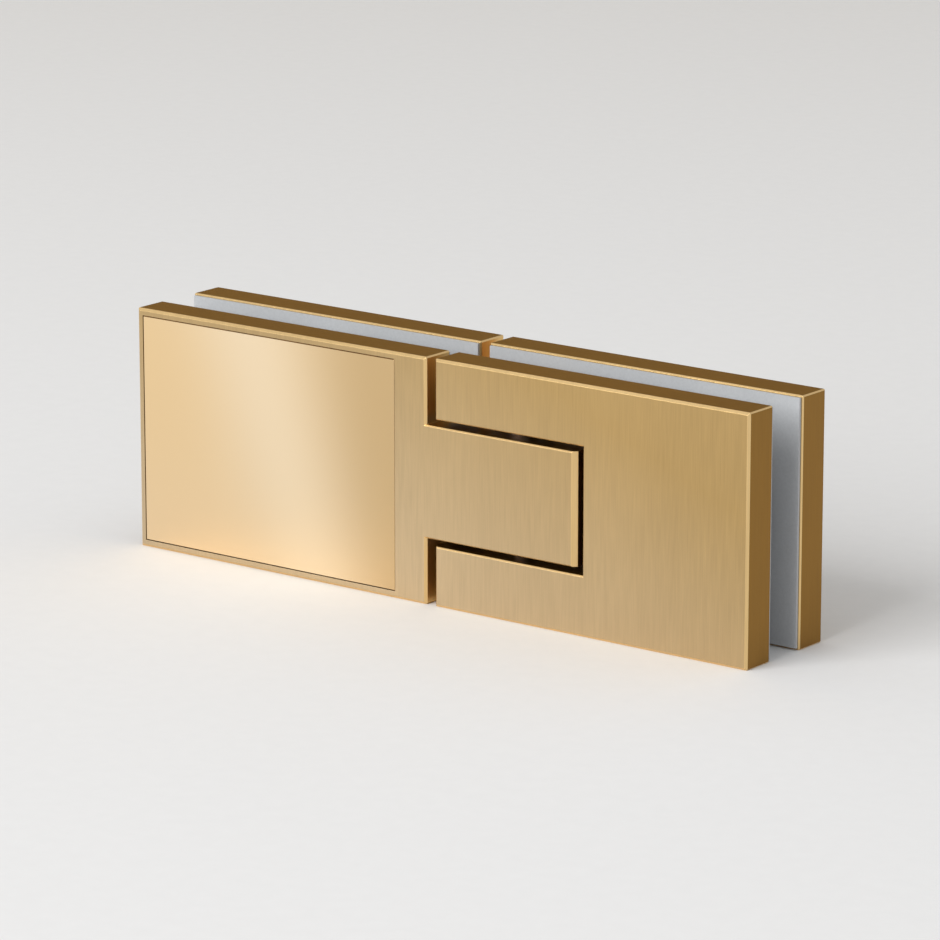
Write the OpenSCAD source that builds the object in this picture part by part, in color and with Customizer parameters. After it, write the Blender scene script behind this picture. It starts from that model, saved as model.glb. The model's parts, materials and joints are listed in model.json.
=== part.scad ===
// Lift hinge with two clamping sides in one plane; the moving side rises as it swings open.
// X runs along the hinge with the fixed side at -X, the front faces -Y, and Z is up.
// The origin is the middle of the closed hinge.

/* [Leaves] */
// Width of each leaf
leaf_w = 67; // [60:0.5:80]
// Height of the hinge
leaf_h = 45; // [42:0.5:60]
// Thickness of a front leaf or back plate
leaf_t = 7; // [6.5:0.1:9]
// Gap between the leaves of the two sides
seam = 1.9; // [1.6:0.1:4]
// Bevel along the show edges
edge_bevel = 0.45; // [0.3:0.05:0.8]
// Bevel along the other edges and around the notch
edge_break = 0.25; // [0.1:0.05:0.4]

/* [Clamp] */
// Space between the front and the back gasket
clamp_space = 8; // [6:1:12]
// Thickness of one gasket
gasket_t = 0.5; // [0.5:0.1:1]
// How far a gasket stays back from the leaf's edge
gasket_inset = 0.4; // [0:0.1:1]

/* [Knuckle] */
// Length of the knuckle past the fixed leaf's end
knuckle_l = 32.7; // [31:0.1:34]
// Height of the knuckle
knuckle_h = 20.6; // [20:0.1:24]
// Gap above and below the knuckle
knuckle_gap = 1.2; // [1.2:0.1:2]
// Gap at the end of the knuckle
knuckle_end_gap = 1.6; // [1.4:0.1:3]
// Bevel along the knuckle's end
knuckle_bevel = 0.9; // [0.4:0.1:1.2]

/* [Cover] */
// Thickness of the cover plate
cover_t = 1.5; // [1.2:0.1:2]
// Rim of the leaf around the cover plate
cover_rim = 1.3; // [1.2:0.1:3]
// Strip of the leaf left between the cover plate and the leaf's end
cover_strip = 7; // [6:0.1:9]
// Groove around the cover plate
cover_gap = 0.1; // [0.08:0.01:0.3]
// Bevel along the cover plate's edges
cover_bevel = 0.12; // [0.05:0.01:0.3]
// Diameter of the pegs that hold the cover plate
peg_d = 4; // [3:0.1:5]

/* [Pivot] */
// Distance of the pivot from the knuckle's middle, towards its end
pivot_shift = 0; // [-0.3:0.1:0.3]
// Distance of the pivot behind the front face
pivot_depth = 7; // [6.6:0.1:7]
// Diameter of the hinge pin's upper length
pin_d = 6; // [5.6:0.1:6.4]
// Diameter of the hinge pin where it drives the upper cam
drive_d = 5; // [4.6:0.1:5.2]
// Depth of the flat that drives the upper cam
drive_flat = 0.4; // [0.3:0.05:0.5]
// Diameter of the lift cams
cam_d = 10; // [9:0.1:10.4]
// Radius of the bosses that hold the pin's ends
boss_r = 6; // [5.4:0.1:6.4]
// Height of each boss
boss_h = 7.5; // [7:0.1:8.5]

/* [Lift] */
// How far the moving side rises over the full swing
lift = 0.9; // [0.4:0.1:0.9]
// Swing of the moving side, in degrees
swing = 90; // [80:1:90]
// Angle that one cam ramp covers, in degrees
ramp_sweep = 150; // [140:1:152]
// Height of a cam below its ramps
cam_base = 3; // [2.6:0.1:3.4]
// Height of the moving cam above its lowest point
cam_body = 5; // [4.6:0.1:5.2]
// Thickness of the lift ring
ring_t = 2; // [1.6:0.1:2.2]
// Number of disc springs above the lift ring
disc_count = 6; // [4:2:8]
// Thickness of one disc spring
disc_t = 0.45; // [0.3:0.05:0.5]

/* [Fasteners] */
// Diameter of a clamp screw
screw_d = 5; // [4:0.1:6]
// Diameter of a clamp screw's head
screw_head_d = 10; // [9:0.1:12]
// Distance of each clamp screw above or below the middle
screw_rise = 13; // [12:0.5:15]
// Outer diameter of the sleeve around a clamp screw
sleeve_d = 9; // [8:0.1:12]
// Diameter of the set screws that lock the pin
set_screw_d = 4; // [3:0.1:4]

/* [Hidden] */
$fn = 64;

// Running and seating clearances
run_gap = 0.05;
thread_gap = 0.05;
chamber_gap = 0.1;
cam_gap = 0.1;
seat_gap = 0.1;
cut = 1;

// Planes along the depth, front to back
slot_t = clamp_space + 2 * gasket_t;
depth = 2 * leaf_t + slot_t;
y_front = -depth / 2;
y_front_inner = y_front + leaf_t;
y_back_inner = y_front_inner + slot_t;
y_back = depth / 2;

// Places along the hinge
fixed_end = -seam / 2;
door_end = seam / 2;
fixed_far = fixed_end - leaf_w;
door_far = door_end + leaf_w;
knuckle_end = fixed_end + knuckle_l;
notch_end = knuckle_end + knuckle_end_gap;
axis_x = (fixed_end + knuckle_end) / 2 + pivot_shift;
axis_y = y_front + pivot_depth;

// Heights
half_h = leaf_h / 2;
half_knuckle = knuckle_h / 2;
half_notch = half_knuckle + knuckle_gap;
boss_top = half_notch + boss_h;

// The stack on the pin inside the knuckle, bottom to top
bush_h = 3;
bush_wall = 1;
chamber_d = cam_d + 2 * chamber_gap;
chamber_floor = -half_knuckle + bush_h;
chamber_roof = half_knuckle - bush_h;
ramp_floor = chamber_floor + cam_base;
ramp_rate = lift / swing;
upper_cam_floor = ramp_floor + cam_gap;
upper_cam_top = upper_cam_floor + cam_body;
ring_floor = upper_cam_top + seat_gap;
ring_top = ring_floor + ring_t;
tail_d = drive_d - 2 * drive_flat;
lobes = 2;
lobe_pitch = 360 / lobes;
ramp_step = 5;
wall_margin = 3;
drive_floor = upper_cam_floor + ramp_rate * ramp_sweep;
disc_gap = 0.02;
disc_pitch = (chamber_roof - ring_top) / disc_count;

// Keys that stop the fixed cam and the lift ring from turning
key_w = 2;
key_reach = 1;
key_gap = 0.1;

// Clamp screws
fixed_screw_x = (fixed_far + fixed_end) / 2;
door_screw_x = (notch_end + door_far) / 2;
head_h = (screw_head_d - screw_d) / 2;
screw_end_wall = 1.5;
head_sink = 0.1;
socket_d = 0.6 * screw_d;
socket_depth = 0.5 * head_h + 0.6;

// Set screws
set_flat = 0.3;
set_socket_d = set_screw_d / 2;
set_socket_depth = 1.4;
set_z = half_notch + boss_h / 2;
// Height of each pin seat and the pin's diameter there
pin_seats = [[set_z, pin_d], [-set_z, tail_d]];

brass = "#c3a068";
polished_brass = "#e3c08a";
gasket_grey = "#8f9293";
nylon = "#e4e2dc";
steel = "#b9bcc0";
bronze = "#a9773f";

// Block between x0 and x1, z0 and z1, with its show face at y_show and its plain face at y_plain.
// bevels are the set-backs at the show face for the x0, x1, z0 and z1 edges; a negative one flares.
// plain_bevel is the set-back along all edges of the plain face.
module bevel_block(x0, x1, z0, z1, y_show, y_plain, bevels, plain_bevel = 0) {
    dir = sign(y_plain - y_show);
    b = [for (v = bevels) abs(v)];
    y_side = y_plain - dir * plain_bevel;
    intersection() {
        translate([0, 0, z0 - leaf_h])
            linear_extrude(z1 - z0 + 2 * leaf_h)
                polygon([
                    [x0 + plain_bevel, y_plain], [x0, y_side],
                    [x0, y_show + dir * b[0]], [x0 + bevels[0], y_show],
                    [x1 - bevels[1], y_show], [x1, y_show + dir * b[1]],
                    [x1, y_side], [x1 - plain_bevel, y_plain]
                ]);
        translate([x0 - leaf_w, 0, 0])
            rotate([90, 0, 90])
                linear_extrude(x1 - x0 + 2 * leaf_w)
                    polygon([
                        [y_plain, z0 + plain_bevel], [y_side, z0],
                        [y_show + dir * b[2], z0], [y_show, z0 + bevels[2]],
                        [y_show, z1 - bevels[3]], [y_show + dir * b[3], z1],
                        [y_side, z1], [y_plain, z1 - plain_bevel]
                    ]);
    }
}

// Plate with all its edges bevelled
module plate(x0, x1, y_show, y_plain) {
    c = edge_break;
    intersection() {
        bevel_block(x0, x1, -half_h, half_h, y_show, y_plain, [for (i = [0:3]) edge_bevel], edge_break);
        translate([0, max(y_show, y_plain) + cut, 0])
            rotate([90, 0, 0])
                linear_extrude(leaf_t + 2 * cut)
                    polygon([
                        [x0 + c, -half_h], [x1 - c, -half_h], [x1, c - half_h], [x1, half_h - c],
                        [x1 - c, half_h], [x0 + c, half_h], [x0, half_h - c], [x0, c - half_h]
                    ]);
    }
}

// Cutter for the notch that the knuckle sits in, flared at the show face
module notch_cutter(y_show, y_plain) {
    past = sign(y_plain - y_show) * cut;
    bevel_block(door_end - cut, notch_end, -half_notch, half_notch, y_show, y_plain + past,
        [0, -edge_break, -edge_break, -edge_break]);
}

// Cylinder along Y from y0 to y1
module rod_y(x, z, d, y0, y1) {
    translate([x, y0, z])
        rotate([-90, 0, 0])
            cylinder(d = d, h = y1 - y0);
}

// Places its children at each of one leaf's two clamp screws
module at_clamp_screws(x) {
    for (side = [-1, 1])
        translate([x, 0, side * screw_rise])
            children();
}

// Countersunk socket screw along +Y, with its head's face at y = 0
module countersunk_screw(length) {
    difference() {
        union() {
            rotate([-90, 0, 0])
                cylinder(d1 = screw_head_d, d2 = screw_d, h = head_h);
            rod_y(0, 0, screw_d, head_h, length);
        }
        translate([0, -cut, 0])
            rotate([-90, 0, 0])
                cylinder(d = socket_d, h = socket_depth + cut, $fn = 6);
    }
}

// Hole for a countersunk screw along +Y, with the seat's mouth at y = 0
module countersunk_hole(length) {
    mouth = screw_head_d + 2 * (head_sink + run_gap);
    rotate([-90, 0, 0]) {
        cylinder(d1 = mouth, d2 = screw_d, h = (mouth - screw_d) / 2);
        cylinder(d = screw_d + 2 * seat_gap, h = length);
    }
    rod_y(0, 0, mouth, -cut, 0);
}

// Gasket with the outline of a leaf and holes for the sleeves
module gasket(x0, x1, y0, screw_x) {
    difference() {
        translate([x0 + gasket_inset, y0, -half_h + gasket_inset])
            cube([x1 - x0 - 2 * gasket_inset, gasket_t, leaf_h - 2 * gasket_inset]);
        at_clamp_screws(screw_x)
            rod_y(0, 0, sleeve_d + 2 * seat_gap, y0 - cut, y0 + gasket_t + cut);
    }
}

module screw_sleeves(screw_x) {
    at_clamp_screws(screw_x)
        difference() {
            rod_y(0, 0, sleeve_d, y_front_inner, y_back_inner);
            rod_y(0, 0, screw_d + 2 * seat_gap, y_front_inner - cut, y_back_inner + cut);
        }
}

// Two keys that stand out of a ring on the pivot, between two heights
module keys(z0, z1, gap) {
    reach = cam_d / 2 + key_reach + gap;
    translate([axis_x - reach, axis_y - key_w / 2 - gap, z0])
        cube([2 * reach, key_w + 2 * gap, z1 - z0]);
}

// Ring on the pivot between two heights
module pivot_ring(outer_d, inner_d, z0, z1) {
    translate([axis_x, axis_y, z0])
        difference() {
            cylinder(d = outer_d, h = z1 - z0);
            translate([0, 0, -cut])
                cylinder(d = inner_d, h = z1 - z0 + 2 * cut);
        }
}

// Round pocket or rod on the pivot between two heights
module pivot_rod(d, z0, z1) {
    translate([axis_x, axis_y, z0])
        cylinder(d = d, h = z1 - z0);
}

// One helical ramp on the pivot, from clockwise angle a0 to a1, raised by a gap
module ramp(a0, a1, gap) {
    steps = ceil((a1 - a0) / ramp_step);
    angles = [for (i = [0:steps]) a0 + (a1 - a0) * i / steps];
    r_in = 0.8 * tail_d / 2;
    r_out = 1.1 * cam_d / 2;
    points = [
        for (a = angles)
            let (top = ramp_rate * a + gap)
                for (p = [[r_in, -cut], [r_out, -cut], [r_out, top], [r_in, top]])
                    [p[0] * cos(a), -p[0] * sin(a), p[1]]
    ];
    sides = [
        for (i = [0:steps - 1])
            for (k = [0:3])
                let (here = 4 * i, next = here + 4, n = (k + 1) % 4)
                    for (face = [[here + n, here + k, next + k], [here + n, next + k, next + n]])
                        face
    ];
    last = 4 * steps;
    caps = [[0, 1, 2], [0, 2, 3], [last + 2, last + 1, last], [last + 3, last + 2, last]];
    translate([axis_x, axis_y, ramp_floor])
        polyhedron(points, concat(sides, caps));
}

module ramps(a0, a1, gap) {
    translate([axis_x, axis_y, 0])
        for (i = [0:lobes - 1])
            rotate([0, 0, lobe_pitch * i])
                translate([-axis_x, -axis_y, 0])
                    ramp(a0, a1, gap);
}

// Fixed leaf: a cast front plate and the knuckle, in one piece
module fixed_leaf() {
    color(brass)
        difference() {
            union() {
                plate(fixed_far, fixed_end, y_front, y_front_inner);
                knuckle();
            }
            cover_recess();
            at_clamp_screws(fixed_screw_x)
                translate([0, y_front + cover_t, 0])
                    countersunk_hole(leaf_t);
            for (x = cover_peg_xs())
                rod_y(x, 0, peg_d + 2 * run_gap, y_front, y_front_inner + cut);
            knuckle_bore();
        }
}

// Recess for the cover plate, open at the front
module cover_recess() {
    translate([fixed_far + cover_rim, y_front - cut, -half_h + cover_rim])
        cube([leaf_w - cover_rim - cover_strip, cover_t + cut, leaf_h - 2 * cover_rim]);
}

function cover_peg_xs() =
    let (left = fixed_far + cover_rim, right = fixed_end - cover_strip, inset = (right - left) / 6)
        [left + inset, right - inset];

// Knuckle: a block through the full depth, bevelled on its front and back show edges
module knuckle() {
    root = fixed_end - cover_strip / 2;
    bevels = [0, knuckle_bevel, edge_break, edge_break];
    bevel_block(root, knuckle_end, -half_knuckle, half_knuckle, y_front, y_front_inner, bevels);
    bevel_block(fixed_end, knuckle_end, -half_knuckle, half_knuckle, y_back, y_front_inner - cut, bevels);
}

// Stepped bore with keyways for what is on the pin inside the knuckle
module knuckle_bore() {
    pivot_rod(tail_d + 2 * bush_wall, -half_knuckle - cut, chamber_floor + cut);
    pivot_rod(chamber_d, chamber_floor, half_knuckle + cut);
    keys(chamber_floor, half_knuckle + cut, key_gap);
}

// Cover plate: polished sheet with two pegs on its back
module cover_plate() {
    color(polished_brass) {
        bevel_block(fixed_far + cover_rim + cover_gap, fixed_end - cover_strip - cover_gap,
            -half_h + cover_rim + cover_gap, half_h - cover_rim - cover_gap,
            y_front, y_front + cover_t, [for (i = [0:3]) cover_bevel]);
        for (x = cover_peg_xs())
            rod_y(x, 0, peg_d, y_front + cover_t / 2, y_front_inner - edge_bevel);
    }
}

module fixed_back_plate() {
    color(brass)
        difference() {
            plate(fixed_far, fixed_end - thread_gap, y_back, y_back_inner);
            at_clamp_screws(fixed_screw_x)
                rod_y(0, 0, screw_d + 2 * thread_gap, y_back_inner - cut, y_back - screw_end_wall);
        }
}

module fixed_front_gasket() {
    color(gasket_grey)
        gasket(fixed_far, fixed_end, y_front_inner, fixed_screw_x);
}

module fixed_back_gasket() {
    color(gasket_grey)
        gasket(fixed_far, fixed_end, y_back_inner - gasket_t, fixed_screw_x);
}

module fixed_clamp_screws() {
    head_y = y_front + cover_t + head_sink;
    color(steel)
        at_clamp_screws(fixed_screw_x)
            translate([0, head_y, 0])
                countersunk_screw(y_back - screw_end_wall - cut - head_y);
}

module fixed_screw_sleeves() {
    color(nylon)
        screw_sleeves(fixed_screw_x);
}

// Plain bushes that the pin turns in
module lower_bush() {
    color(bronze)
        pivot_ring(tail_d + 2 * bush_wall, tail_d + 2 * run_gap, -half_knuckle, chamber_floor);
}

module upper_bush() {
    color(bronze)
        pivot_ring(chamber_d, pin_d + 2 * run_gap, chamber_roof, half_knuckle);
}

// Fixed cam: helical ramps facing up, keyed in the knuckle
module lower_cam() {
    color(steel)
        difference() {
            union() {
                pivot_rod(cam_d, chamber_floor, ramp_floor);
                keys(chamber_floor, ramp_floor, 0);
                intersection() {
                    ramps(-wall_margin, ramp_sweep, 0);
                    pivot_rod(cam_d, chamber_floor, chamber_roof);
                }
            }
            pivot_rod(tail_d + 2 * run_gap, chamber_floor - cut, chamber_roof);
        }
}

// Lift ring: rises with the pin but is keyed against turning
module lift_ring() {
    color(steel)
        difference() {
            union() {
                pivot_rod(cam_d, ring_floor, ring_top);
                keys(ring_floor, ring_top, 0);
            }
            pivot_rod(pin_d + 2 * run_gap, ring_floor - cut, ring_top + cut);
        }
}

// Disc springs: cupped washers stacked in turn, between the lift ring and the upper bush
module disc_springs() {
    r_in = pin_d / 2 + 3 * seat_gap;
    r_out = cam_d / 2 - seat_gap;
    rise = disc_pitch - disc_t - disc_gap;
    color(steel)
        for (i = [0:disc_count - 1])
            let (inner = i % 2 == 0 ? 0 : rise, outer = rise - inner)
                translate([axis_x, axis_y, ring_top + disc_pitch * i + disc_gap / 2])
                    rotate_extrude()
                        polygon([
                            [r_in, inner], [r_out, outer],
                            [r_out, outer + disc_t], [r_in, inner + disc_t]
                        ]);
}

// Moving leaf: notched front plate with two bosses for the pin
module door_leaf() {
    color(brass)
        difference() {
            union() {
                plate(door_end, door_far, y_front, y_front_inner);
                for (z = [half_notch, -boss_top])
                    translate([axis_x, axis_y, z])
                        cylinder(r = boss_r, h = boss_h);
            }
            notch_cutter(y_front, y_front_inner);
            pivot_rod(pin_d + 2 * thread_gap, 0, boss_top + cut);
            pivot_rod(tail_d + 2 * thread_gap, -boss_top - cut, 0);
            at_clamp_screws(door_screw_x)
                rod_y(0, 0, screw_d + 2 * thread_gap, y_front + screw_end_wall, y_front_inner + cut);
            for (z = [-set_z, set_z])
                rod_y(axis_x, z, set_screw_d + 2 * thread_gap, axis_y, axis_y + boss_r + cut);
        }
}

module door_back_plate() {
    color(brass)
        difference() {
            plate(door_end, door_far, y_back, y_back_inner);
            notch_cutter(y_back, y_back_inner);
            at_clamp_screws(door_screw_x)
                translate([0, y_back, 0])
                    rotate([0, 0, 180])
                        countersunk_hole(leaf_t + cut);
        }
}

// The moving side's gaskets follow the notch, and the front one clears the bosses
module door_gasket(y0) {
    half_gap = half_notch + gasket_inset;
    gap_end = notch_end + gasket_inset;
    difference() {
        gasket(door_end, door_far, y0, door_screw_x);
        translate([door_end - cut, y0 - cut, -half_gap])
            cube([gap_end - door_end + cut, gasket_t + 2 * cut, 2 * half_gap]);
    }
}

module door_front_gasket() {
    color(gasket_grey)
        difference() {
            door_gasket(y_front_inner);
            pivot_rod(2 * boss_r + 2 * seat_gap, -boss_top - seat_gap, boss_top + seat_gap);
        }
}

module door_back_gasket() {
    color(gasket_grey)
        door_gasket(y_back_inner - gasket_t);
}

module door_clamp_screws() {
    head_y = y_back - head_sink;
    color(steel)
        at_clamp_screws(door_screw_x)
            translate([0, head_y, 0])
                rotate([0, 0, 180])
                    countersunk_screw(head_y - y_front - screw_end_wall - cut);
}

module door_screw_sleeves() {
    color(nylon)
        screw_sleeves(door_screw_x);
}

// Rod on the pivot with a flat cut along its back
module flat_rod(d, flat, z0, z1) {
    intersection() {
        pivot_rod(d, z0, z1);
        translate([axis_x - d, axis_y + d / 2 - flat - 2 * d, z0])
            cube([2 * d, 2 * d, z1 - z0]);
    }
}

// Hinge pin: drops in from the top, drives the upper cam by a flat and rests on it with its shoulder
module hinge_pin() {
    flat_h = set_screw_d + 2 * set_flat;
    color(steel)
        difference() {
            union() {
                pivot_rod(pin_d, upper_cam_top, boss_top);
                flat_rod(drive_d, drive_flat, drive_floor, upper_cam_top + cut);
                pivot_rod(tail_d, -boss_top, drive_floor + cut);
            }
            for (seat = pin_seats)
                translate([axis_x - pin_d / 2, axis_y + seat[1] / 2 - set_flat, seat[0] - flat_h / 2])
                    cube([pin_d, pin_d, flat_h]);
        }
}

// Moving cam: helical ramps facing down, on the hinge pin's flat
module upper_cam() {
    color(steel)
        difference() {
            pivot_rod(cam_d, upper_cam_floor, upper_cam_top);
            ramps(-wall_margin, ramp_sweep + wall_margin, cam_gap);
            flat_rod(drive_d + 2 * run_gap, drive_flat, upper_cam_floor - cut, upper_cam_top + cut);
        }
}

// Set screws from behind each boss, tight on the pin's flats
module pin_set_screws() {
    tail = axis_y + boss_r - set_flat;
    color(steel)
        for (seat = pin_seats)
            difference() {
                rod_y(axis_x, seat[0], set_screw_d, axis_y + seat[1] / 2 - set_flat, tail);
                translate([axis_x, tail - set_socket_depth, seat[0]])
                    rotate([-90, 0, 0])
                        cylinder(d = set_socket_d, h = set_socket_depth + cut, $fn = 6);
            }
}

fixed_leaf();
cover_plate();
fixed_back_plate();
fixed_front_gasket();
fixed_back_gasket();
fixed_clamp_screws();
fixed_screw_sleeves();
lower_bush();
upper_bush();
lower_cam();
lift_ring();
disc_springs();
door_leaf();
door_back_plate();
door_front_gasket();
door_back_gasket();
door_clamp_screws();
door_screw_sleeves();
hinge_pin();
upper_cam();
pin_set_screws();
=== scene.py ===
import json
import math

import bpy
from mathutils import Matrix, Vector


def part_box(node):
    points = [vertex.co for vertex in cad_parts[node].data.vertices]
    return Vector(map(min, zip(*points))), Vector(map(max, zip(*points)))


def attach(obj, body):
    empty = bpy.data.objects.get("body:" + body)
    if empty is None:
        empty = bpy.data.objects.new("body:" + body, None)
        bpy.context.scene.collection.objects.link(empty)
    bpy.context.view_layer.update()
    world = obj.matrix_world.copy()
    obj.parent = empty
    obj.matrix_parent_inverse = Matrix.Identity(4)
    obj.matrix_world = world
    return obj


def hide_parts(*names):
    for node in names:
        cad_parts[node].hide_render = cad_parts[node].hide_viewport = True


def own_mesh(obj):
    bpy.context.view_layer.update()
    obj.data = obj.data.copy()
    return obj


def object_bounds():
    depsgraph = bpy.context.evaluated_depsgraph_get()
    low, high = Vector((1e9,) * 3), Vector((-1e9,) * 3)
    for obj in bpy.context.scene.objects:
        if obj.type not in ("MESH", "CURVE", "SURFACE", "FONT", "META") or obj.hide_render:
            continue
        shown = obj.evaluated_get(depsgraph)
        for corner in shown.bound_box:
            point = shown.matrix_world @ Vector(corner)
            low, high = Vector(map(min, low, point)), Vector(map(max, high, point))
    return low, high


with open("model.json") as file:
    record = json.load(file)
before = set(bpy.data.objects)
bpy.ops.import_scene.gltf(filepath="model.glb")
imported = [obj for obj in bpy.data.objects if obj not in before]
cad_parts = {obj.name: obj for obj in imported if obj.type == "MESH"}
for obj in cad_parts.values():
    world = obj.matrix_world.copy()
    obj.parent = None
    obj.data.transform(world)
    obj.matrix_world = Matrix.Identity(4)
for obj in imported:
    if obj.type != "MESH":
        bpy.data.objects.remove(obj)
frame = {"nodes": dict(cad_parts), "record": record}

cad_low, cad_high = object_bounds()


# Fixed leaf: the front plate of the fixed side, in one piece with the knuckle that the hinge turns on.
# It is a brass casting, milled square, with bevels along its edges.
# The faces are brushed upright with a fine belt and lacquered.
# Its colour carries painted light: a painted highlight on the bevels, a painted shade of dark brown on the
# top and end faces, a painted lighter gold on the end walls in the seam, and a painted reflection that
# makes the faces paler towards the bottom and darker towards the moving end.
MM = 0.001


class Signal:
    """A shader socket that can be used in sums."""

    def __init__(self, finish, socket):
        self.finish = finish
        self.socket = socket

    def math(self, operation, *others):
        """A Math node with this signal in its first socket and the others in the next ones."""
        sockets = dict(enumerate((self, *others)))
        return self.finish.node("ShaderNodeMath", {"operation": operation}, sockets)

    def between(self, low, high):
        """Number that goes from low to high as this signal goes from 0 to 1."""
        return low + (high - low) * self

    def __add__(self, other):
        return self.math("ADD", other)

    def __sub__(self, other):
        return self.math("SUBTRACT", other)

    def __rsub__(self, other):
        return self.math("MULTIPLY_ADD", -1.0, other)

    def __mul__(self, other):
        return self.math("MULTIPLY", other)

    def __truediv__(self, other):
        return self.math("DIVIDE", other)

    def __abs__(self):
        return self.math("ABSOLUTE")

    def __gt__(self, other):
        return self.math("GREATER_THAN", other)

    def __lt__(self, other):
        return self.math("LESS_THAN", other)

    __radd__ = __add__
    __rmul__ = __mul__


class Finish:
    """One material and the nodes that make it."""

    def __init__(self, name, **constants):
        self.material = bpy.data.materials.new(name)
        self.material.use_nodes = True
        self.tree = self.material.node_tree
        self.shader = self.tree.nodes["Principled BSDF"]
        self.surface(**constants)

    def node(self, kind, settings=None, sockets=None, output=0):
        made = self.tree.nodes.new(kind)
        for name, value in (settings or {}).items():
            setattr(made, name, value)
        for key, value in (sockets or {}).items():
            self.feed(made.inputs[key], value)
        return Signal(self, made.outputs[output])

    def feed(self, socket, value):
        if isinstance(value, Signal):
            self.tree.links.new(value.socket, socket)
        else:
            socket.default_value = value

    def surface(self, **values):
        for name, value in values.items():
            self.feed(self.shader.inputs[name.replace("_", " ")], value)

    def place(self):
        return self.node("ShaderNodeTexCoord", output="Object")

    def axes(self, vector):
        parts = self.node("ShaderNodeSeparateXYZ", {}, {0: vector}).socket.node.outputs
        return [Signal(self, part) for part in parts]

    def noise(self, waves, detail):
        """Noise with so many waves per metre along X, Y and Z."""
        where = self.node("ShaderNodeMapping", {}, {"Vector": self.place(), "Scale": waves})
        return self.node("ShaderNodeTexNoise", {}, {"Vector": where, "Scale": 1.0, "Detail": detail}, "Fac")

    def blend(self, share, low, high):
        """Colour that goes from low to high as share goes from 0 to 1."""
        share_in, low_in, high_in, colour_out = 0, 6, 7, 2
        sockets = {share_in: share, low_in: low, high_in: high}
        return self.node("ShaderNodeMix", {"data_type": "RGBA"}, sockets, colour_out)

    def scaled(self, colour, factor):
        """Colour that is made lighter or darker by a factor."""
        return self.node("ShaderNodeVectorMath", {"operation": "SCALE"}, {0: colour, "Scale": factor})

    def bump(self, height, strength, depth, edge_radius=0.0):
        """Relief of a depth in metres, with the piece's edges softened to a radius."""
        sockets = {"Height": height, "Strength": strength, "Distance": depth}
        if edge_radius:
            sockets["Normal"] = self.node("ShaderNodeBevel", {"samples": 6}, {"Radius": edge_radius})
        return self.node("ShaderNodeBump", {}, sockets)


def dress(node, finish):
    """Puts a finish on one piece of the hinge."""
    for slot in frame["nodes"][node].material_slots:
        slot.material = finish.material


streak_waves = 5200
streak_run = 130
band_waves = 1500
band_run = 110
tone_waves = 35
tone_run = 12
streak_share = 0.65
tone_share = 0.3
square_on = 0.9
mask_room = 0.3 * MM
slot_inset = 0.1 * MM
slot_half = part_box("fixed_back_gasket")[1].y - slot_inset
seam_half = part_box("door_leaf")[0].x + mask_room
knuckle_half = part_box("upper_bush")[1].z + mask_room
face_gold = (0.505, 0.337, 0.140, 1.0)
face_painted_pale_gold = (0.635, 0.490, 0.306, 1.0)
# painted shade: a dark brown for the top and end faces of the plates and knuckle
painted_shade_brown = (0.310, 0.158, 0.027, 1.0)
# painted highlight: a bright gold for the bevels
painted_highlight_gold = (0.826, 0.578, 0.268, 1.0)
# painted light: a lighter gold for the end walls inside the seam, which lie in shade
painted_light_seam_gold = (0.82, 0.54, 0.21, 1.0)
# painted reflection: the faces grow paler towards the bottom and darker towards the moving end
painted_pale_middle = 0.60
painted_pale_from_x = -10 * MM
painted_pale_loss_along = 7.8
painted_pale_loss_up = 19.0

brushed_brass = Finish("brushed_brass", Metallic=1.0)
facing = brushed_brass.node("ShaderNodeTexCoord", output="Normal")
flat_end, flat_front, flat_top = (abs(axis) > square_on for axis in brushed_brass.axes(facing))
bevel = 1.0 - flat_front - flat_top - flat_end
x, y, z = brushed_brass.axes(brushed_brass.place())
on_plate = abs(y) > slot_half
on_knuckle = abs(z) < knuckle_half
in_seam = abs(x) < seam_half
# the plates and the knuckle, where the painted shade goes
painted_shade_zone = on_plate.math("MAXIMUM", on_knuckle)
upright = brushed_brass.noise(waves=(streak_waves, streak_waves, streak_run), detail=3.0)
level = brushed_brass.noise(waves=(streak_run, streak_waves, streak_waves), detail=3.0)
broad = brushed_brass.noise(waves=(band_waves, band_waves, band_run), detail=2.0)
tone = brushed_brass.noise(waves=(tone_waves, tone_waves, tone_run), detail=1.0)
streaks = streak_share * upright + (1 - streak_share) * broad
streaks = streaks + (level - streaks) * flat_top
# painted reflection: paler towards the bottom, darker towards the moving end
painted_pale = painted_pale_middle - painted_pale_loss_along * x.math("MAXIMUM", painted_pale_from_x) - painted_pale_loss_up * z
painted_pale = brushed_brass.node("ShaderNodeClamp", {}, {"Value": painted_pale})
colour = brushed_brass.blend(painted_pale, face_gold, face_painted_pale_gold)
# painted shade: the top and end faces on the plates and knuckle take the dark brown
colour = brushed_brass.blend((flat_top + flat_end) * painted_shade_zone, colour, painted_shade_brown)
# painted highlight on the bevels of the plates
colour = brushed_brass.blend(bevel * on_plate, colour, painted_highlight_gold)
# painted light on the end walls inside the seam
colour = brushed_brass.blend(flat_end * in_seam, colour, painted_light_seam_gold)
shade = tone_share * tone + (1 - tone_share) * streaks
brushed_brass.surface(
    Base_Color=brushed_brass.scaled(colour, shade.between(0.75, 1.25)),
    Roughness=streaks.between(0.26, 0.44),
    Normal=brushed_brass.bump(streaks, strength=0.14, depth=0.02 * MM, edge_radius=0.12 * MM),
)
dress("fixed_leaf", brushed_brass)


# Cover plate: a brass sheet that hides the clamp screws, pressed into the leaf's recess by two pegs.
# It is polished and lacquered, where the leaf around it is satin.
# Its colour carries a painted reflection, a soft slanting bright band and a paler foot, and a painted shade
# that dims it towards the knuckle.
cover_low, cover_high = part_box("cover_plate")
cover_gold = (0.930, 0.675, 0.372, 1.0)
# painted reflection: a paler gold for the foot of the cover
cover_painted_foot_gold = (0.955, 0.715, 0.435, 1.0)
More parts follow.
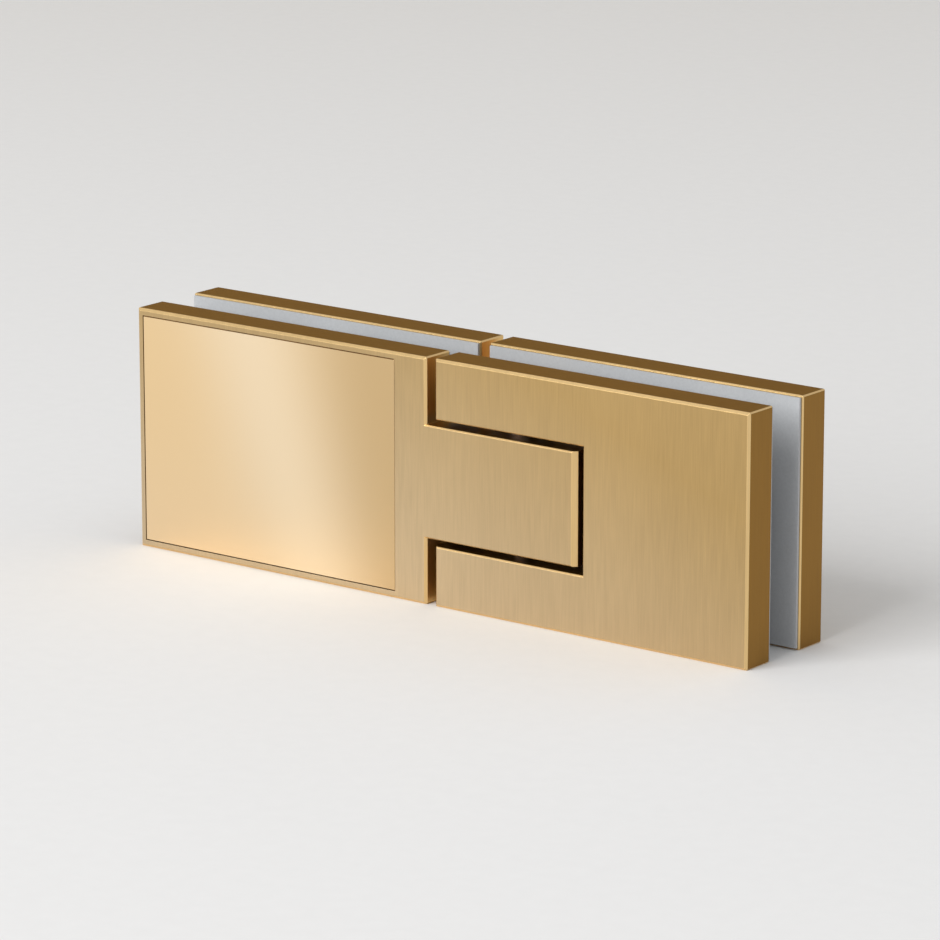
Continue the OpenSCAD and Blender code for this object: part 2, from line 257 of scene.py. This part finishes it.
# painted shade: a darker gold towards the knuckle
cover_painted_shade = (0.70, 0.490, 0.250, 1.0)
# painted reflection: a bright gold for the slanting band
cover_painted_highlight = (1.00, 0.800, 0.540, 1.0)
reflection_band_middle = 0.67
reflection_band_slant = 0.235
reflection_band_half = 0.24
painted_dimming_from = 0.3
painted_dimming_to = 0.92

polished_brass = Finish("polished_brass", Metallic=1.0)
haze = polished_brass.noise(waves=(900, 900, 60), detail=2.0)
x, _, z = polished_brass.axes(polished_brass.place())
along = (x - cover_low.x) / (cover_high.x - cover_low.x)
up = (z - cover_low.z) / (cover_high.z - cover_low.z)
down = 1.0 - up
# painted reflection: a soft slanting bright band across the cover
off_reflection_band = (along - reflection_band_middle + reflection_band_slant * up) / reflection_band_half
painted_reflection_band = (-1.0 * off_reflection_band * off_reflection_band).math("EXPONENT")
# painted shade: darker towards the knuckle
reach = {"Value": along, "From Min": painted_dimming_from, "From Max": painted_dimming_to}
painted_dimming = polished_brass.node("ShaderNodeMapRange", {"interpolation_type": "SMOOTHSTEP"}, reach)
# painted reflection: paler towards the foot
colour = polished_brass.blend(down * down, cover_gold, cover_painted_foot_gold)
colour = polished_brass.blend(painted_dimming, colour, cover_painted_shade)
polished_brass.surface(
    Base_Color=polished_brass.blend(painted_reflection_band, colour, cover_painted_highlight),
    Roughness=haze.between(0.10, 0.16),
    Normal=polished_brass.bump(haze, strength=0.04, depth=0.01 * MM, edge_radius=0.1 * MM),
)
dress("cover_plate", polished_brass)


# Fixed back plate: a plain brass plate with blind tapped holes for the clamp screws.
# It is brushed and lacquered as the leaf is.
dress("fixed_back_plate", brushed_brass)


# Gaskets: punched sheets of grey elastomer on the inner faces of the leaves and back plates.
# They are matte, with the fine grain of calendered sheet.
gasket_grey = (0.41, 0.422, 0.436, 1.0)
gasket_pale_grey = (0.51, 0.523, 0.538, 1.0)

gasket_sheet = Finish("gasket_sheet")
grain = gasket_sheet.noise(waves=(2600, 2600, 2600), detail=3.0)
gasket_sheet.surface(
    Base_Color=gasket_sheet.blend(grain, gasket_grey, gasket_pale_grey),
    Roughness=grain.between(0.55, 0.75),
    Normal=gasket_sheet.bump(grain, strength=0.25, depth=0.03 * MM),
)
for node in ("fixed_front_gasket", "fixed_back_gasket", "door_front_gasket", "door_back_gasket"):
    dress(node, gasket_sheet)


# Clamp screws: countersunk socket screws in stainless steel, with turned heads.
# The fixed side's go in from the front under the cover plate, and the moving side's from behind.
ring_pitch = 0.55 * MM
plain_share = 0.14
wear_share = 0.6
ring_share = 0.10
ring_roughness = 0.04
screw_grey = (0.28, 0.285, 0.295, 1.0)
screw_pale_grey = (0.60, 0.605, 0.615, 1.0)


def turned_steel(name, centre_x, rise):
    """Steel with turning rings about two screws at centre_x, that lie at plus and minus rise."""
    steel = Finish(name, Metallic=1.0)
    x, _, z = steel.axes(steel.place())
    across = x - centre_x
    up = abs(z) - rise
    radius = (across * across + up * up).math("SQRT")
    rings = (radius * (2 * math.pi / ring_pitch)).math("SINE")
    wear = steel.noise(waves=(240, 240, 240), detail=2.0)
    bright = plain_share + wear_share * wear + ring_share * rings
    steel.surface(
        Base_Color=steel.blend(bright, screw_grey, screw_pale_grey),
        Roughness=wear.between(0.2, 0.3) + ring_roughness * rings,
        Normal=steel.bump(rings, strength=0.3, depth=0.012 * MM),
    )
    return steel


for node in ("fixed_clamp_screws", "door_clamp_screws"):
    low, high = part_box(node)
    head_r = (high.x - low.x) / 2
    dress(node, turned_steel(node + "_steel", centre_x=(low.x + high.x) / 2, rise=high.z - head_r))


# Screw sleeves: nylon tubes, turned from bar, that fill the space between the gaskets.
# The clamp screws pass through them.
nylon_grey = (0.70, 0.68, 0.63, 1.0)
nylon_white = (0.80, 0.785, 0.74, 1.0)

nylon = Finish("nylon", Subsurface_Weight=0.1)
mottle = nylon.noise(waves=(400, 1800, 400), detail=3.0)
nylon.surface(
    Base_Color=nylon.blend(mottle, nylon_grey, nylon_white),
    Roughness=mottle.between(0.4, 0.6),
    Normal=nylon.bump(mottle, strength=0.1, depth=0.02 * MM),
)
for node in ("fixed_screw_sleeves", "door_screw_sleeves"):
    dress(node, nylon)


# Bushes: two plain bearings that the hinge pin turns in.
# They are sintered bronze, full of oil, and pressed into the ends of the knuckle's bore.
bronze_dark = (0.30, 0.155, 0.062, 1.0)
bronze_light = (0.46, 0.265, 0.120, 1.0)

bronze = Finish("bronze", Metallic=1.0)
pores = bronze.noise(waves=(3200, 3200, 3200), detail=2.0)
bronze.surface(
    Base_Color=bronze.blend(pores, bronze_dark, bronze_light),
    Roughness=pores.between(0.36, 0.56),
    Normal=bronze.bump(pores, strength=0.2, depth=0.02 * MM),
)
for node in ("lower_bush", "upper_bush"):
    dress(node, bronze)


# Lift cams, lift ring, hinge pin and set screws: hardened steel, ground and oiled.
# The pin drops in from the top through both bosses and drives the upper cam.
# The set screws lock it from behind the bosses.
steel_grey = (0.38, 0.375, 0.37, 1.0)
steel_pale_grey = (0.56, 0.56, 0.565, 1.0)
oil_roughness = 0.1

ground_steel = Finish("ground_steel", Metallic=1.0)
scratches = ground_steel.noise(waves=(900, 900, 4200), detail=3.0)
oil = ground_steel.noise(waves=(160, 160, 160), detail=2.0)
ground_steel.surface(
    Base_Color=ground_steel.blend(oil, steel_grey, steel_pale_grey),
    Roughness=scratches.between(0.2, 0.32) + oil_roughness * oil,
    Normal=ground_steel.bump(scratches, strength=0.1, depth=0.01 * MM, edge_radius=0.06 * MM),
)
for node in ("lower_cam", "upper_cam", "lift_ring", "hinge_pin", "pin_set_screws"):
    dress(node, ground_steel)


# Disc springs: six cupped washers of spring steel, stacked between the lift ring and the upper bush.
# Each is blanked from strip, pressed to a cone and tumbled, so that its edges are round.
# Every second one is turned over. In the real hinge the stack flattens as the lift ring rises; here the
# stack keeps one shape.
springs_low, springs_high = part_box("disc_springs")
stack_h = springs_high.z - springs_low.z
axis_x = (springs_low.x + springs_high.x) / 2
axis_y = (springs_low.y + springs_high.y) / 2
disc_count = 6
disc_sides = 64
disc_t = 0.45 * MM
disc_gap = 0.02 * MM
disc_round = 0.08 * MM
disc_hole_r = 3.3 * MM
disc_r = (springs_high.x - springs_low.x) / 2
disc_pitch = stack_h / disc_count
disc_rise = disc_pitch - disc_t - disc_gap
inward = disc_hole_r / disc_r
smooth_up_to = math.radians(40)

bpy.ops.object.select_all(action="DESELECT")
bpy.ops.mesh.primitive_circle_add(vertices=disc_sides, radius=disc_r, location=(0, 0, -disc_rise / 2))
disc = bpy.context.object
bpy.ops.object.transform_apply(location=True)
bpy.ops.object.mode_set(mode="EDIT")
bpy.ops.mesh.select_all(action="SELECT")
bpy.ops.mesh.extrude_edges_move(TRANSFORM_OT_translate={"value": (0, 0, disc_rise)})
bpy.ops.transform.resize(value=(inward, inward, 1))
bpy.ops.mesh.select_all(action="SELECT")
bpy.ops.mesh.normals_make_consistent(inside=False)
bpy.ops.object.mode_set(mode="OBJECT")
wall = disc.modifiers.new("wall", "SOLIDIFY")
wall.thickness = disc_t
wall.offset = 0
bpy.ops.object.modifier_apply(modifier=wall.name)
rounding = disc.modifiers.new("rounding", "BEVEL")
rounding.width = disc_round
rounding.segments = 2
bpy.ops.object.modifier_apply(modifier=rounding.name)

discs = [disc]
while len(discs) < disc_count:
    bpy.ops.object.duplicate()
    discs.append(bpy.context.object)
for step, disc in enumerate(discs):
    disc.location = (axis_x, axis_y, springs_low.z + (step + 0.5) * disc_pitch)
    disc.rotation_euler = (math.pi * (1 - step % 2), 0, 0)
    disc.select_set(True)
bpy.ops.object.join()
spring_stack = bpy.context.object
spring_stack.name = "disc_spring_stack"
bpy.ops.object.transform_apply(location=True, rotation=True, scale=True)
bpy.ops.object.shade_smooth_by_angle(angle=smooth_up_to)
spring_stack.data.materials.append(ground_steel.material)

joints = frame["record"]["behaviour"]["joints"]
lift = next(joint["range_m"][1] for joint in joints if joint["name"] == "door_lift")
pressed = 1 - (lift + disc_gap) / stack_h
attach(spring_stack, "fixed_side")
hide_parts("disc_springs")
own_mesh(spring_stack)


# Moving leaf and its back plate: brass plates with a notch that the knuckle turns in.
# They are brushed together with the fixed side, so that the streaks match across the seam.
for node in ("door_leaf", "door_back_plate"):
    dress(node, brushed_brass)


# Floor: a wide sheet of pale paper that the closed hinge stands on.
# It is matte, with faint fibres.
floor_z = cad_low.z
floor_side = 8.0
paper_white = (0.77, 0.77, 0.77, 1.0)
paper_bright = (0.80, 0.80, 0.80, 1.0)
bpy.ops.mesh.primitive_plane_add(size=floor_side, location=(0, 0, floor_z))
floor = bpy.context.object
floor.name = "floor"
paper = Finish("floor_paper", Roughness=0.9)
fibres = paper.noise(waves=(300, 300, 300), detail=3.0)
paper.surface(Base_Color=paper.blend(fibres, paper_white, paper_bright))
floor.data.materials.append(paper.material)


# Card: a board covered in brown felt, that stands upright behind the hinge.
# The top faces of the leaves mirror it, and the camera doesn't see it itself.
card_w = 1.3
card_h = 1.1
card_t = 0.01
card_distance = 1.5
card_turn = math.radians(37.7)
felt_dark = (0.35, 0.245, 0.085, 1.0)
felt_light = (0.40, 0.280, 0.105, 1.0)
bpy.ops.mesh.primitive_cube_add(size=1.0, location=(0, 0, 0))
card = bpy.context.object
card.name = "brown_card"
card.scale = (card_w, card_t, card_h)
card.rotation_euler = (0, 0, card_turn)
card.location = (
    -card_distance * math.sin(card_turn),
    card_distance * math.cos(card_turn),
    floor_z + card_h / 2,
)
felt = Finish("brown_felt", Roughness=1.0)
nap = felt.noise(waves=(200, 200, 200), detail=2.0)
felt.surface(Base_Color=felt.blend(nap, felt_dark, felt_light))
card.data.materials.append(felt.material)
card.visible_camera = False


# Light: an even grey room, and one large soft lamp in front of the fixed side and above it.
# The colours are shown as they are written.
room_grey = (0.62, 0.62, 0.62, 1.0)
lamp_place = Vector((-0.45, -1.98, 1.27))
lamp_side = 1.8
lamp_watts = 51
scene = bpy.context.scene
scene.view_settings.view_transform = "Standard"
world = bpy.data.worlds.new("studio")
scene.world = world
world.use_nodes = True
backdrop = world.node_tree.nodes["Background"]
backdrop.inputs["Color"].default_value = room_grey
backdrop.inputs["Strength"].default_value = 1.0
bpy.ops.object.light_add(type="AREA", location=lamp_place)
lamp = bpy.context.object
lamp.name = "soft_box"
lamp.data.size = lamp_side
lamp.data.energy = lamp_watts
lamp.rotation_euler = (-lamp_place).to_track_quat("-Z", "Y").to_euler()


# Camera: it stands in front of the moving side, a little above the hinge, and looks at the hinge's middle.
# The lens is long, so that the hinge fills the picture from this distance.
view_azimuth = math.radians(37.63)
view_elevation = math.radians(14.1)
view_distance = 0.9285
to_camera = Vector((
    math.sin(view_azimuth) * math.cos(view_elevation),
    -math.cos(view_azimuth) * math.cos(view_elevation),
    math.sin(view_elevation),
))
bpy.ops.object.camera_add(location=to_camera * view_distance)
camera = bpy.context.object
camera.data.sensor_width = 36.0
camera.data.lens = 200.0
camera.rotation_euler = (-to_camera).to_track_quat("-Z", "Y").to_euler()
scene.camera = camera
